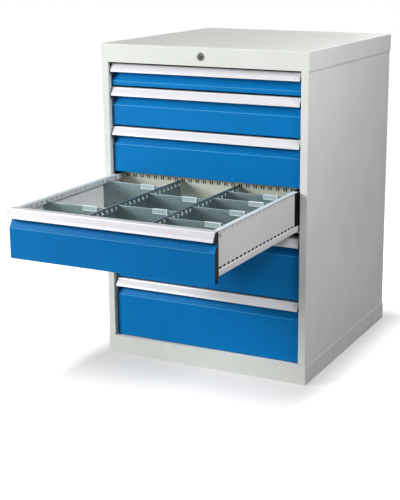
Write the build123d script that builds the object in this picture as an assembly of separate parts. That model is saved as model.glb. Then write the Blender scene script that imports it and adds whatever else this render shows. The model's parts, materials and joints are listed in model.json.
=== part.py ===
from build123d import *
import os
from math import asin, cos, degrees, hypot, radians, sin

# Drawer cabinet in folded sheet steel: a casing with a cap and a plinth, six drawers on
# full-extension runners, and a central lock that bars every drawer. The fourth drawer stands open.
# Millimetres. +X is right, +Y runs to the back, +Z is up, the drawers open towards -Y, and the
# origin is the centre of the casing's base on the floor.

# Casing
cabinet_width = 705.0
cabinet_depth = 736.0
casing_sheet = 1.5
casing_bend = 1.75              # fold radius at the middle of the sheet
seam_gap = 0.2                  # between two sheets that lie against each other
fascia_height = 57.0
fascia_return = 15.0
plinth_height = 62.0
plinth_side_height = 57.0
plinth_rear_height = 50.0
plinth_return = 15.0
post_width = 26.5
post_depth = 30.0
post_hem = 13.0
rear_flange = 16.0
rear_panel_inset = 3.0          # rear panel stands this far inside the cap and the plinth
rear_panel_side_gap = 3.0
panel_tuck = 42.0               # how far the rear panel runs up and down behind the flanges
side_panel_lift = 2.0           # foot of a side panel above the base sheet
bottom_plate_drop = 1.7         # bottom plate's top face under the plinth's top face

# Drawer stack, from the top down
drawer_pitches = (75.0, 125.0, 150.0, 150.0, 200.0, 200.0)
open_drawer_number = 4
open_rear_depth = 50.0          # box's rear end behind the front plane when fully out
fascia_gap = 4.5                # fascia to the top handle
drawer_gap = 6.0                # front of one drawer to the handle of the next

# Drawer fronts, as depths behind the casing's front plane and drops below the drawer's top
front_side_gap = 5.0
front_sheet = 1.0
front_bend = 1.5
front_face_depth = 13.0
front_top_depth = 26.0
bevel_top_drop = 27.0
bevel_bottom_drop = 55.5
front_lip_height = 54.0

# Handle profile
handle_top_depth = 14.0
handle_lip_depth = 1.5
handle_height = 25.5
handle_back_overlap = 2.0       # how far the ledge reaches over the drawer's front wall
ledge_sheet = 1.5
handle_wall = 3.2
label_channel_depth = 1.4
top_rib = 3.5
lower_lip = 6.6
lip_groove_inset = 1.5
lip_groove_width = 0.8
lip_groove_depth = 0.6
label_strip_thickness = 0.8
label_strip_end_gap = 1.0
label_strip_play = 0.15

# Drawer box
box_side_gap = 7.0              # box to the post on each side
box_sheet = 1.0
box_bend = 1.5
box_front_depth = 34.0
box_rear_depth = 126.0          # box's rear end to the cabinet's rear plane, when closed
rim_drop = 1.5                  # rim below the top of the handle
rim_width = 15.0
rim_lip = 16.0
runner_space = 27.5             # drawer's lowest line to the underside of its box
skirt_flange = 19.0
skirt_height = 24.5             # underside of the box to the underside of its floor
skirt_step = 2.5                # how far the skirt's band stands out from the side above it
skirt_band = 15.0               # height of the band, up to the foot of its step
slot_pitch = 25.0
slot_first = 12.5
rim_slot_width = 5.0
rim_slot_height = 8.0
rim_slot_drop = 4.0
floor_slot_length = 15.0
floor_slot_height = 5.0
floor_slot_drop = 0.5           # below the floor's underside
rear_slot_width = 2.5
rear_slot_spacing = 7.5
rear_slot_height = 10.0
rear_slot_drop = 4.0

# Runners
runner_play = 0.5
runner_start_depth = 50.0
runner_rear_depth = 46.0        # fixed runner's rear end to the cabinet's rear plane
middle_runner_setback = 40.0    # middle runner's rear end in front of the fixed runner's
fixed_runner_sheet = 1.5
middle_runner_sheet = 2.0
fixed_runner_lift = 11.0        # above the drawer's lowest line
fixed_runner_plate = 30.0
fixed_runner_lip = 16.0
middle_runner_foot = 17.5
middle_runner_web_gap = 2.0     # web to the edge of the box's skirt flange
middle_runner_arm = 18.0
upright_width = 30.0
upright_thickness = 12.0
upright_front_inset = 2.0       # front upright behind the front end of the runners
upright_rear_inset = 30.0
runner_screw_radius = 2.5
runner_screw_head_radius = 4.5
runner_screw_head_height = 2.5
runner_screw_lift = 16.0
screw_hole_clearance = 0.2

# Dividers in the open drawer
partition_places = (-100.0, 100.0)
partition_sheet = 1.0
partition_hem = 4.0
partition_drop = 8.0            # below the rim
partition_slot_drop = 10.0
partition_end_gap = 1.2         # clears the folds of the drawer's floor
divider_end_gap = 0.3
divider_sheet = 1.0
divider_drop = 10.0
# Slot number of each cross divider, counted from the drawer's front wall, for each column
divider_slots = ((5, 18), (7, 14), (4, 10, 15, 19))
holder_width = 47.0
holder_height = 15.0
holder_wall = 1.2
holder_back_height = 7.0
holder_play = 0.15
holder_inset = 32.0             # holder to the divider's right end

# Lock
lock_height_above_fascia_foot = 28.5
rosette_radius = 12.5
rosette_height = 2.5
lock_hole_radius = 11.2
housing_radius = 11.0
housing_flange_radius = 15.0
housing_flange_thickness = 2.0
housing_length = 22.0
cylinder_radius = 9.0
cylinder_play = 0.1
cylinder_front_drop = 0.8       # cylinder's face behind the face of the rosette
cylinder_tail = 2.0             # cylinder past the end of its housing
keyhole_width = 2.2
keyhole_height = 9.0
keyhole_depth = 9.0
lock_turn = 90.0
cam_plate = 3.0
cam_radius = 10.0               # cylinder axis to the cam's pin
cam_hub_radius = 9.5
cam_arm_width = 9.0
lock_pin_radius = 2.5
lock_slot_play = 0.5
lock_plate_gap = 1.0            # between the plates of the linkage, front to back
link_height = 14.0
link_end = 9.0                  # link past the middle of its slots
crank_up_arm = 15.0
crank_out_arm = 14.0
crank_hub_radius = 7.0
crank_arm_width = 9.0
crank_pivot_radius = 3.0
crank_pivot_play = 0.1
crank_drop = 6.5                # crank's pivot below the cylinder's axis
bar_width = 16.0
bar_side_gap = 5.0              # bar to the side panel
bar_foot_height = 110.0
bar_slot_edge = 5.0
hook_height = 10.0
hook_drop = 14.0                # middle of a locked hook below the drawer's top
hook_side_gap = 1.5             # hook's tip to the drawer's side
catch_reach = 4.5
catch_length = 4.0
catch_gap = 2.0                 # locked hook to the catch behind it
guide_heights = (150.0, 520.0, 905.0)
guide_height = 20.0
guide_wall = 2.2
guide_play = 0.3
bracket_sheet = 2.0
bracket_margin = 10.0
link_guide_places = (60.0, 250.0)
link_guide_width = 12.0

# Rear panel screws
rear_screw_heights = (110.0, 375.0, 640.0, 905.0)
rear_screw_edge = 6.0
rear_screw_radius = 2.0
rear_screw_head_radius = 4.0
rear_screw_head_height = 1.2
rear_screw_length = 8.0

# Places that follow from the sizes above
opening_height = sum(drawer_pitches)
opening_top = plinth_height + opening_height
cabinet_height = opening_top + fascia_height
half_width = cabinet_width / 2
front_plane = -cabinet_depth / 2
rear_plane = cabinet_depth / 2
panel_outer = half_width - casing_sheet - seam_gap
panel_inner = panel_outer - casing_sheet
rear_panel_outer = rear_plane - rear_panel_inset
rear_flange_outer = rear_panel_outer - casing_sheet - seam_gap
opening_edge = half_width - post_width
front_half = opening_edge - front_side_gap
box_half = opening_edge - box_side_gap
rim_inner = box_half - rim_width
box_front = front_plane + box_front_depth
box_rear = rear_plane - box_rear_depth
drawer_travel = box_rear - front_plane - open_rear_depth
side_start = box_front + box_sheet + seam_gap
side_end = box_rear - box_sheet - seam_gap
box_inner_length = box_rear - box_front - 2 * box_sheet
runner_start = front_plane + runner_start_depth
runner_end = rear_plane - runner_rear_depth
web_x = box_half - skirt_flange - middle_runner_web_gap
upright_face = panel_inner - seam_gap - upright_thickness
runner_plate_outer = upright_face - seam_gap
lock_z = opening_top + lock_height_above_fascia_foot
housing_end = front_plane + casing_sheet + seam_gap + housing_flange_thickness + housing_length
cam_front = housing_end + cylinder_tail
link_front = cam_front + cam_plate + lock_plate_gap
crank_front = link_front + cam_plate + lock_plate_gap
bar_front = crank_front + cam_plate + lock_plate_gap
bracket_front = bar_front + cam_plate + lock_plate_gap + guide_wall
cam_swing = lock_turn / 2
link_travel = 2 * cam_radius * sin(radians(cam_swing))
crank_swing = degrees(asin(link_travel / 2 / crank_up_arm))
bar_travel = 2 * crank_out_arm * sin(radians(crank_swing))
bar_x = panel_inner - bar_width / 2 - bar_side_gap
crank_x = bar_x - crank_out_arm
crank_z = lock_z - crank_drop
hook_tip = box_half + hook_side_gap
catch_front = bar_front + cam_plate + catch_gap


def drawer_top(number):
    """Height of the top of a drawer's handle."""
    return opening_top - fascia_gap - sum(drawer_pitches[:number - 1])


def drawer_foot(number):
    """Lowest line of a drawer's share of the opening."""
    return drawer_top(number) - drawer_pitches[number - 1]


def drawer_shift(number):
    """How far a drawer stands pulled out in the stored pose."""
    return drawer_travel if number == open_drawer_number else 0.0


def block(x, y, z):
    """Box between two values on each axis."""
    middle = Pos((x[0] + x[1]) / 2, (y[0] + y[1]) / 2, (z[0] + z[1]) / 2)
    return middle * Box(abs(x[1] - x[0]), abs(y[1] - y[0]), abs(z[1] - z[0]))


def along_x(section, x0, x1):
    """Extrude a section drawn in Y and Z."""
    return extrude(Plane.YZ.offset(x0) * section, x1 - x0)


def along_y(section, y0, y1):
    """Extrude a section drawn in X and Z."""
    plane = Plane((0, y1, 0), x_dir=(1, 0, 0), z_dir=(0, -1, 0))
    return extrude(plane * section, y1 - y0)


def along_z(section, z0, z1):
    """Extrude a section drawn in X and Y."""
    return extrude(Plane.XY.offset(z0) * section, z1 - z0)


def folded(points, sheet, bend):
    """Section of a folded sheet along the middle of its thickness."""
    return trace(FilletPolyline(*points, radius=bend), sheet)


def polygon(points):
    """Flat face with the given corners."""
    return make_face(Polyline(*points, close=True))


def rod(x, z, radius, y0, y1):
    """Round bar along Y."""
    return along_y(Pos(x, z) * Circle(radius), y0, y1)


def on_left(piece):
    """The same piece for the left side."""
    return mirror(piece, about=Plane.YZ)


def row(first, pitch, length):
    """Places of a row of slots that fit in a length, from its start."""
    return [first + pitch * i for i in range(int((length - 2 * first) / pitch + 1e-6) + 1)]


# Casing

def top_cap():
    outer = block((-half_width, half_width), (front_plane, rear_plane), (opening_top, cabinet_height))
    outer = fillet(outer.edges().filter_by(Axis.Z) + outer.edges().group_by(Axis.Z)[-1],
                   casing_bend + casing_sheet / 2)
    inside = block((-half_width + casing_sheet, half_width - casing_sheet),
                   (front_plane + casing_sheet, rear_plane - casing_sheet),
                   (opening_top, cabinet_height - casing_sheet))
    inside = fillet(inside.edges().filter_by(Axis.Z) + inside.edges().group_by(Axis.Z)[-1],
                    casing_bend - casing_sheet / 2)
    foot = block((-opening_edge, opening_edge), (front_plane + casing_sheet / 2, front_plane + fascia_return),
                 (opening_top, opening_top + casing_sheet))
    keyway = rod(0, lock_z, lock_hole_radius, front_plane - 1, front_plane + casing_sheet + 1)
    return outer - inside + foot - keyway


def base_plinth():
    outer = block((-half_width, half_width), (front_plane, rear_plane), (0, plinth_height))
    outer = fillet(outer.edges().filter_by(Axis.Z), casing_bend + casing_sheet / 2)
    inside = block((-half_width + casing_sheet, half_width - casing_sheet),
                   (front_plane + casing_sheet, rear_plane - casing_sheet), (casing_sheet, plinth_height))
    inside = fillet(inside.edges().filter_by(Axis.Z), casing_bend - casing_sheet / 2)
    side_trim = block((-half_width, half_width), (front_plane + casing_sheet, rear_plane),
                      (plinth_side_height, plinth_height))
    rear_trim = block((-half_width, half_width), (rear_plane - casing_sheet - 1, rear_plane),
                      (plinth_rear_height, plinth_height))
    top_return = block((-opening_edge, opening_edge),
                       (front_plane + casing_sheet / 2, front_plane + plinth_return),
                       (plinth_height - casing_sheet, plinth_height))
    return outer - inside - side_trim - rear_trim + top_return


def bottom_plate():
    top = plinth_height - bottom_plate_drop
    return block((-panel_inner + seam_gap, panel_inner - seam_gap),
                 (front_plane + casing_sheet + seam_gap, rear_flange_outer - casing_sheet - seam_gap),
                 (top - casing_sheet, top))


def side_panel():
    """Right side panel with the front post folded on and a flange for the rear panel."""
    mid = casing_sheet / 2
    path = [(opening_edge + post_hem, front_plane + post_depth - mid),
            (opening_edge + mid, front_plane + post_depth - mid),
            (opening_edge + mid, front_plane + mid),
            (panel_outer - mid, front_plane + mid),
            (panel_outer - mid, rear_flange_outer - mid),
            (panel_outer - rear_flange, rear_flange_outer - mid)]
    panel = along_z(folded(path, casing_sheet, casing_bend),
                    plinth_height + seam_gap, opening_top - seam_gap)
    sheet_x = (panel_inner, panel_outer)
    sheet_y = (front_plane + casing_sheet + casing_bend, rear_flange_outer - casing_bend - mid)
    foot = block(sheet_x, sheet_y, (casing_sheet + side_panel_lift, plinth_height + 1))
    head = block(sheet_x, sheet_y, (opening_top - 1, cabinet_height - casing_sheet - side_panel_lift))
    screws = [rod(rear_screw_x(), z, rear_screw_radius + screw_hole_clearance,
                  rear_flange_outer - casing_sheet - 1, rear_flange_outer + 1)
              for z in rear_screw_heights]
    return panel + foot + head - screws


def rear_screw_x():
    return panel_outer - rear_flange + rear_screw_edge


def rear_panel():
    half = panel_outer - rear_panel_side_gap
    panel = block((-half, half), (rear_panel_outer - casing_sheet, rear_panel_outer),
                  (plinth_rear_height - panel_tuck, opening_top + panel_tuck))
    screws = [rod(side * rear_screw_x(), z, rear_screw_radius + screw_hole_clearance,
                  rear_panel_outer - casing_sheet - 1, rear_panel_outer + 1)
              for side in (-1, 1) for z in rear_screw_heights]
    return panel - screws


def rear_panel_screws():
    def screw(x, z):
        head = rod(x, z, rear_screw_head_radius, rear_panel_outer, rear_panel_outer + rear_screw_head_height)
        shank = rod(x, z, rear_screw_radius, rear_panel_outer - rear_screw_length, rear_panel_outer)
        return head + shank
    return [screw(side * rear_screw_x(), z) for side in (-1, 1) for z in rear_screw_heights]


# Runners

def upright(depth):
    """Right upright between the side panel and the runners, starting at a depth."""
    mid = casing_sheet / 2
    start = front_plane + depth
    path = [(panel_inner - seam_gap, start + mid), (upright_face + mid, start + mid),
            (upright_face + mid, start + upright_width - mid), (panel_inner - seam_gap, start + upright_width - mid)]
    post = along_z(folded(path, casing_sheet, casing_bend), plinth_height, opening_top - casing_sheet)
    screws = []
    for number in range(1, len(drawer_pitches) + 1):
        z = runner_screw_z(number)
        screws.append(screw_rod(z, depth, runner_screw_radius + screw_hole_clearance,
                                upright_face - 1, upright_face + casing_sheet + 1))
    return post - screws


def upright_depths():
    rear = runner_end - front_plane - upright_rear_inset - upright_width
    return (runner_start_depth + upright_front_inset, rear)


def runner_screw_z(number):
    return drawer_foot(number) + fixed_runner_lift + runner_screw_lift


def screw_rod(z, depth, radius, x0, x1):
    """Round bar along X at the middle of an upright."""
    section = Pos(front_plane + depth + upright_width / 2, z) * Circle(radius)
    return along_x(section, x0, x1)


def uprights():
    return [upright(depth) for depth in upright_depths()]


def fixed_runner(number):
    """Right fixed runner: screw plate, shelf under the box and the channel at its inner edge."""
    sheet = fixed_runner_sheet
    mid = sheet / 2
    foot = drawer_foot(number) + fixed_runner_lift
    channel = middle_runner_sheet + 2 * runner_play
    inner = web_x - middle_runner_foot - runner_play
    path = [(inner + fixed_runner_lip, foot + sheet + channel + mid),
            (inner - mid, foot + sheet + channel + mid),
            (inner - mid, foot + mid),
            (runner_plate_outer - mid, foot + mid),
            (runner_plate_outer - mid, foot + fixed_runner_plate)]
    runner = along_y(folded(path, sheet, mid + 0.1), runner_start, runner_end)
    holes = [screw_rod(runner_screw_z(number), depth, runner_screw_radius + screw_hole_clearance,
                       runner_plate_outer - sheet - 1, runner_plate_outer + 1)
             for depth in upright_depths()]
    return runner - holes


def runner_screws():
    """Screws of all the right runners."""
    screws = []
    for number in range(1, len(drawer_pitches) + 1):
        for depth in upright_depths():
            z = runner_screw_z(number)
            seat = runner_plate_outer - fixed_runner_sheet
            head = screw_rod(z, depth, runner_screw_head_radius, seat - runner_screw_head_height, seat)
            shank = screw_rod(z, depth, runner_screw_radius, seat, upright_face + casing_sheet + 1)
            screws.append(head + shank)
    return screws


def middle_runner(number):
    """Right middle runner: its foot runs in the fixed runner, its arms in the box's skirt."""
    sheet = middle_runner_sheet
    foot = drawer_foot(number) + fixed_runner_lift + fixed_runner_sheet + runner_play
    top = drawer_foot(number) + runner_space + skirt_height - runner_play
    low_arm = drawer_foot(number) + runner_space + box_sheet + runner_play
    length = (runner_start, runner_end - middle_runner_setback)
    web = block((web_x - sheet, web_x), length, (foot, top))
    toe = block((web_x - middle_runner_foot, web_x), length, (foot, foot + sheet))
    arms = [block((web_x - sheet, web_x + middle_runner_arm), length, (z, z + sheet))
            for z in (top - sheet, low_arm)]
    return web + toe + arms[0] + arms[1]


# Drawers, drawn closed

def drawer_sides(number):
    """Right side of a drawer box: rim above, and below the floor a stepped band with a flange."""
    mid = box_sheet / 2
    rim = drawer_top(number) - rim_drop
    foot = drawer_foot(number) + runner_space
    band = foot + skirt_band
    path = [(box_half - skirt_flange, foot + mid), (box_half + skirt_step - mid, foot + mid),
            (box_half + skirt_step - mid, band), (box_half - mid, band + skirt_step),
            (box_half - mid, rim - mid), (rim_inner + mid, rim - mid), (rim_inner + mid, rim - rim_lip)]
    side = along_y(folded(path, box_sheet, box_bend), side_start, side_end)
    slots = []
    for place in row(slot_first, slot_pitch, box_inner_length):
        y = box_front + box_sheet + place
        slots.append(block((rim_inner - 1, box_half + 1), (y - rim_slot_width / 2, y + rim_slot_width / 2),
                           (rim - rim_slot_drop - rim_slot_height, rim - rim_slot_drop)))
        high = foot + skirt_height - floor_slot_drop
        slots.append(block((box_half - box_sheet - 1, box_half + 1),
                           (y - floor_slot_length / 2, y + floor_slot_length / 2),
                           (high - floor_slot_height, high)))
    return side - slots


def lock_catch(number):
    """Stop on the right side of a drawer, behind its locking hook."""
    middle = drawer_top(number) - hook_drop
    return block((box_half, box_half + catch_reach), (catch_front, catch_front + catch_length),
                 (middle - hook_height / 2, middle + hook_height / 2))


def drawer_tray(number):
    """Floor of a drawer box, folded up into its front and rear walls."""
    mid = box_sheet / 2
    half = box_half - box_sheet - seam_gap
    rim = drawer_top(number) - rim_drop
    floor = drawer_foot(number) + runner_space + skirt_height + mid
    path = [(box_front + mid, rim), (box_front + mid, floor), (box_rear - mid, floor), (box_rear - mid, rim)]
    tray = along_x(folded(path, box_sheet, box_bend), -half, half)
    slots = []
    for place in row(slot_first, slot_pitch, 2 * rim_inner):
        for offset in (-rear_slot_spacing / 2, rear_slot_spacing / 2):
            x = -rim_inner + place + offset
            slots.append(block((x - rear_slot_width / 2, x + rear_slot_width / 2),
                               (box_rear - box_sheet - 1, box_rear + 1),
                               (rim - rear_slot_drop - rear_slot_height, rim - rear_slot_drop)))
    return tray - slots


def drawer_front(number):
    """Painted front: flat behind the handle, a bevel, the face, and a lip screwed to the box."""
    mid = front_sheet / 2
    top = drawer_top(number)
    head = top - ledge_sheet - seam_gap - mid
    foot = drawer_foot(number) + drawer_gap + mid
    face = front_plane + front_face_depth + mid
    recess = front_plane + front_top_depth + mid
    back = box_front - seam_gap - mid
    path = [(back, head), (recess, head), (recess, top - bevel_top_drop), (face, top - bevel_bottom_drop),
            (face, foot), (back, foot), (back, foot + front_lip_height)]
    return along_x(folded(path, front_sheet, front_bend), -front_half, front_half)


def handle_point(number, along, outward):
    """Point of the handle's section, measured down its slanted face and out from it."""
    slant = hypot(handle_top_depth - handle_lip_depth, handle_height)
    forward = (handle_top_depth - handle_lip_depth) / slant
    down = handle_height / slant
    y = front_plane + handle_top_depth - along * forward - outward * down
    z = drawer_top(number) - along * down + outward * forward
    return (y, z)


def drawer_handle(number):
    """Handle rail across the front, with a channel for labels and an open grip behind it."""
    slant = hypot(handle_top_depth - handle_lip_depth, handle_height)
    groove = slant - lower_lip + lip_groove_inset
    top = drawer_top(number)
    back = box_front + handle_back_overlap
    under = top - ledge_sheet
    rail = [(0, 0), (top_rib, 0), (top_rib, -label_channel_depth),
            (slant - lower_lip, -label_channel_depth), (slant - lower_lip, 0),
            (groove, 0), (groove, -lip_groove_depth), (groove + lip_groove_width, -lip_groove_depth),
            (groove + lip_groove_width, 0), (slant - 0.8, 0), (slant, -0.8), (slant, -handle_wall)]
    section = [handle_point(number, along, outward) for along, outward in rail]
    inner_top = handle_point(number, 0, -handle_wall)
    drop = (inner_top[1] - under) / (handle_height / slant)
    section.append(handle_point(number, drop, -handle_wall))
    section += [(back, under), (back, top)]
    return along_x(polygon(section), -front_half, front_half)


def label_strip(number):
    """Strip that slides into the handle's label channel."""
    slant = hypot(handle_top_depth - handle_lip_depth, handle_height)
    ends = (top_rib + label_strip_play, slant - lower_lip - label_strip_play)
    seat = -label_channel_depth + label_strip_play
    corners = [(ends[0], seat), (ends[1], seat), (ends[1], seat + label_strip_thickness),
               (ends[0], seat + label_strip_thickness)]
    section = polygon([handle_point(number, along, outward) for along, outward in corners])
    return along_x(section, -front_half + label_strip_end_gap, front_half - label_strip_end_gap)


# Dividers of the open drawer, drawn closed

def divider_floor():
    return drawer_foot(open_drawer_number) + runner_space + skirt_height + box_sheet + seam_gap


def partition(x):
    """Long slotted partition with a hemmed top."""
    mid = partition_sheet / 2
    top = drawer_top(open_drawer_number) - rim_drop - partition_drop
    path = [(x, divider_floor()), (x, top - mid), (x + partition_hem, top - mid)]
    ends = (box_front + box_sheet + partition_end_gap, box_rear - box_sheet - partition_end_gap)
    plate = along_y(folded(path, partition_sheet, partition_sheet), *ends)
    slots = []
    for place in row(slot_first, slot_pitch, box_inner_length):
        y = box_front + box_sheet + place
        slots.append(block((x - 1, x + 1), (y - rim_slot_width / 2, y + rim_slot_width / 2),
                           (top - partition_slot_drop - rim_slot_height, top - partition_slot_drop)))
    return plate - slots


def columns():
    """Left and right limit of each column of compartments."""
    half_sheet = partition_sheet / 2
    walls = [-rim_inner]
    for x in partition_places:
        walls += [x - half_sheet, x + half_sheet]
    walls.append(rim_inner)
    return [(walls[i] + divider_end_gap, walls[i + 1] - divider_end_gap) for i in range(0, len(walls), 2)]


def divider_places():
    """Left end, right end and front face of each cross divider."""
    places = []
    for limits, slots in zip(columns(), divider_slots):
        for slot in slots:
            y = box_front + box_sheet + slot_first + slot_pitch * slot - divider_sheet / 2
            places.append((limits[0], limits[1], y))
    return places


def divider_top():
    return drawer_top(open_drawer_number) - rim_drop - divider_drop


def cross_dividers():
    """Cross dividers. Under the rim's inner lip, the outer ones reach out to the drawer's side."""
    outer = box_half - box_sheet - divider_end_gap
    under_lip = drawer_top(open_drawer_number) - rim_drop - rim_lip - divider_end_gap
    plates = []
    for left, right, y in divider_places():
        plate = block((left, right), (y, y + divider_sheet), (divider_floor(), divider_top()))
        if left < -rim_inner + 1:
            plate += block((-outer, left), (y, y + divider_sheet), (divider_floor(), under_lip))
        if right > rim_inner - 1:
            plate += block((right, outer), (y, y + divider_sheet), (divider_floor(), under_lip))
        plates.append(plate)
    return plates


def label_holders():
    """Clips over the dividers' top edges."""
    wall, play = holder_wall, holder_play
    clips = []
    for left, right, y in divider_places():
        top = divider_top() + play
        back = y + divider_sheet + play
        section = polygon([(y - play - wall, top + wall - holder_height), (y - play, top + wall - holder_height),
                           (y - play, top), (back, top), (back, top + wall - holder_back_height),
                           (back + wall, top + wall - holder_back_height), (back + wall, top + wall),
                           (y - play - wall, top + wall)])
        clips.append(along_x(section, right - holder_inset - holder_width, right - holder_inset))
    return clips


# Lock and linkage, drawn unlocked

def lock_rosette():
    ring = rod(0, lock_z, rosette_radius, front_plane - rosette_height, front_plane)
    ring = chamfer(ring.edges().group_by(Axis.Y)[0], rosette_height / 3)
    return ring - rod(0, lock_z, cylinder_radius + cylinder_play, front_plane - rosette_height - 1, front_plane + 1)


def lock_housing():
    """Fixed barrel behind the fascia."""
    flange_front = front_plane + casing_sheet + seam_gap
    flange = rod(0, lock_z, housing_flange_radius, flange_front, flange_front + housing_flange_thickness)
    barrel = rod(0, lock_z, housing_radius, front_plane, housing_end)
    bore = rod(0, lock_z, cylinder_radius + cylinder_play, front_plane - 1, housing_end + 1)
    return flange + barrel - bore


def lock_cylinder():
    face = front_plane - rosette_height + cylinder_front_drop
    body = rod(0, lock_z, cylinder_radius, face, cam_front)
    keyhole = block((-keyhole_width / 2, keyhole_width / 2), (face - 1, face + keyhole_depth),
                    (lock_z - keyhole_height / 2, lock_z + keyhole_height / 2))
    return body - keyhole


def arm(start, end, width, y0, y1):
    """Flat arm between two points in X and Z, with round ends."""
    length = hypot(end[0] - start[0], end[1] - start[1])
    turn = degrees(asin((end[1] - start[1]) / length))
    turn = turn if end[0] >= start[0] else 180 - turn
    middle = ((start[0] + end[0]) / 2, (start[1] + end[1]) / 2)
    section = Pos(*middle) * Rot(0, 0, turn) * SlotCenterToCenter(length, width)
    return along_y(section, y0, y1)


def cam_pin():
    """Cam pin's place in X and Z when unlocked."""
    swing = radians(cam_swing)
    return (-cam_radius * sin(swing), lock_z + cam_radius * cos(swing))


def lock_cam():
    pin = cam_pin()
    back = cam_front + cam_plate
    hub = rod(0, lock_z, cam_hub_radius, cam_front, back)
    reach = arm((0, lock_z), pin, cam_arm_width, cam_front, back)
    return hub + reach + rod(pin[0], pin[1], lock_pin_radius, back, link_front + cam_plate)


def crank_pins():
    """Places in X and Z of the crank's link pin and bar pin when unlocked."""
    swing = radians(crank_swing)
    link_pin = (crank_x - crank_up_arm * sin(swing), crank_z + crank_up_arm * cos(swing))
    bar_pin = (crank_x + crank_out_arm * cos(swing), crank_z + crank_out_arm * sin(swing))
    return link_pin, bar_pin


def upright_slot(x, low, high, y0, y1):
    """Slot that lets a linkage pin rise and fall."""
    radius = lock_pin_radius + lock_slot_play
    return block((x - radius, x + radius), (y0, y1), (low - radius, high + radius))


def lock_link():
    """Flat link that the cam pushes sideways."""
    link_pin, _ = crank_pins()
    start = cam_pin()
    low = min(start[1], link_pin[1])
    high = max(lock_z + cam_radius, crank_z + crank_up_arm)
    middle = (low + high) / 2
    ends = (start[0] - link_end, link_pin[0] + link_end)
    bar = block(ends, (link_front, link_front + cam_plate), (middle - link_height / 2, middle + link_height / 2))
    cut = (link_front - 1, link_front + cam_plate + 1)
    return bar - [upright_slot(x, low, high, *cut) for x in (start[0], link_pin[0])]


def crank():
    link_pin, bar_pin = crank_pins()
    back = crank_front + cam_plate
    plate = rod(crank_x, crank_z, crank_hub_radius, crank_front, back)
    for pin in (link_pin, bar_pin):
        plate += arm((crank_x, crank_z), pin, crank_arm_width, crank_front, back)
    plate += rod(link_pin[0], link_pin[1], lock_pin_radius, link_front, crank_front)
    plate += rod(bar_pin[0], bar_pin[1], lock_pin_radius, back, bar_front + cam_plate)
    return plate - rod(crank_x, crank_z, crank_pivot_radius + crank_pivot_play, crank_front - 1, back + 1)


def bar_ends():
    """Foot and head of the locking bar when unlocked."""
    _, bar_pin = crank_pins()
    return bar_foot_height + bar_travel, bar_pin[1] + lock_pin_radius + lock_slot_play + bar_slot_edge


def locking_bar():
    _, bar_pin = crank_pins()
    foot, head = bar_ends()
    bar = block((bar_x - bar_width / 2, bar_x + bar_width / 2), (bar_front, bar_front + cam_plate), (foot, head))
    radius = lock_pin_radius + lock_slot_play
    slot = block((bar_pin[0] - radius, bar_x + radius), (bar_front - 1, bar_front + cam_plate + 1),
                 (bar_pin[1] - radius, bar_pin[1] + radius))
    return bar - slot


def locking_hooks():
    """One hook for each drawer, standing above its catch when unlocked."""
    hooks = []
    for number in range(1, len(drawer_pitches) + 1):
        middle = drawer_top(number) - hook_drop + bar_travel
        hooks.append(block((hook_tip, bar_x - bar_width / 2), (bar_front, bar_front + cam_plate),
                           (middle - hook_height / 2, middle + hook_height / 2)))
    return hooks


def crank_bracket():
    """Bracket on the right side panel that carries the crank's pivot."""
    plate_x = (crank_x - bracket_margin, panel_inner - seam_gap)
    plate_z = (crank_z - bracket_margin, crank_z + crank_up_arm + bracket_margin)
    plate = block(plate_x, (bracket_front, bracket_front + bracket_sheet), plate_z)
    foot = block((plate_x[1] - bracket_sheet, plate_x[1]),
                 (bracket_front, bracket_front + post_depth), plate_z)
    pivot = rod(crank_x, crank_z, crank_pivot_radius, crank_front, bracket_front)
    return plate + foot + pivot


def lock_guides():
    """Guides of the bar on the side panel, and of the link on the fascia."""
    guides = []
    outer = panel_inner - seam_gap
    for z in guide_heights:
        body = block((bar_x - bar_width / 2 + 1, outer),
                     (bar_front - guide_play - guide_wall, bar_front + cam_plate + guide_play + guide_wall),
                     (z, z + guide_height))
        way = block((bar_x - bar_width / 2, bar_x + bar_width / 2 + guide_play),
                    (bar_front - guide_play, bar_front + cam_plate + guide_play), (z - 1, z + guide_height + 1))
        guides.append(body - way)
    link_box = lock_link().bounding_box()
    for x in link_guide_places:
        body = block((x, x + link_guide_width), (front_plane + casing_sheet + seam_gap,
                                                 link_front + cam_plate + guide_play + guide_wall),
                     (link_box.min.Z - guide_play - guide_wall, link_box.max.Z + guide_play + guide_wall))
        way = block((x - 1, x + link_guide_width + 1), (link_front - guide_play, link_front + cam_plate + guide_play),
                    (link_box.min.Z - guide_play, link_box.max.Z + guide_play))
        guides.append(body - way)
    return guides


def write(name, pieces, forward=0.0):
    """Write one node, moved forward by its drawer's pull."""
    pieces = pieces if isinstance(pieces, list) else [pieces]
    solids = []
    for piece in pieces:
        solids += (Pos(0, -forward, 0) * piece).solids()
    export_step(solids[0] if len(solids) == 1 else Compound(children=solids), "parts/" + name + ".step")


os.makedirs("parts", exist_ok=True)

write("top_cap", top_cap())
write("base_plinth", base_plinth())
write("bottom_plate", bottom_plate())
write("side_panel_right", side_panel())
write("side_panel_left", on_left(side_panel()))
write("rear_panel", rear_panel())
write("rear_panel_screws", rear_panel_screws())
right_uprights = uprights()
write("runner_uprights", right_uprights + [on_left(piece) for piece in right_uprights])

drawers = range(1, len(drawer_pitches) + 1)
right_runners = [fixed_runner(number) for number in drawers]
write("fixed_runners_right", right_runners)
write("fixed_runners_left", [on_left(runner) for runner in right_runners])
right_screws = runner_screws()
write("runner_screws", right_screws + [on_left(screw) for screw in right_screws])

for number in drawers:
    name = "drawer_" + str(number) + "_"
    pull = drawer_shift(number)
    right_side = drawer_sides(number)
    middle = middle_runner(number)
    write(name + "front", drawer_front(number), pull)
    write(name + "handle", drawer_handle(number), pull)
    write(name + "label_strip", label_strip(number), pull)
    write(name + "tray", drawer_tray(number), pull)
    write(name + "sides", [right_side, on_left(right_side), lock_catch(number)], pull)
    write(name + "middle_runners", [middle, on_left(middle)], pull / 2)

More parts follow.
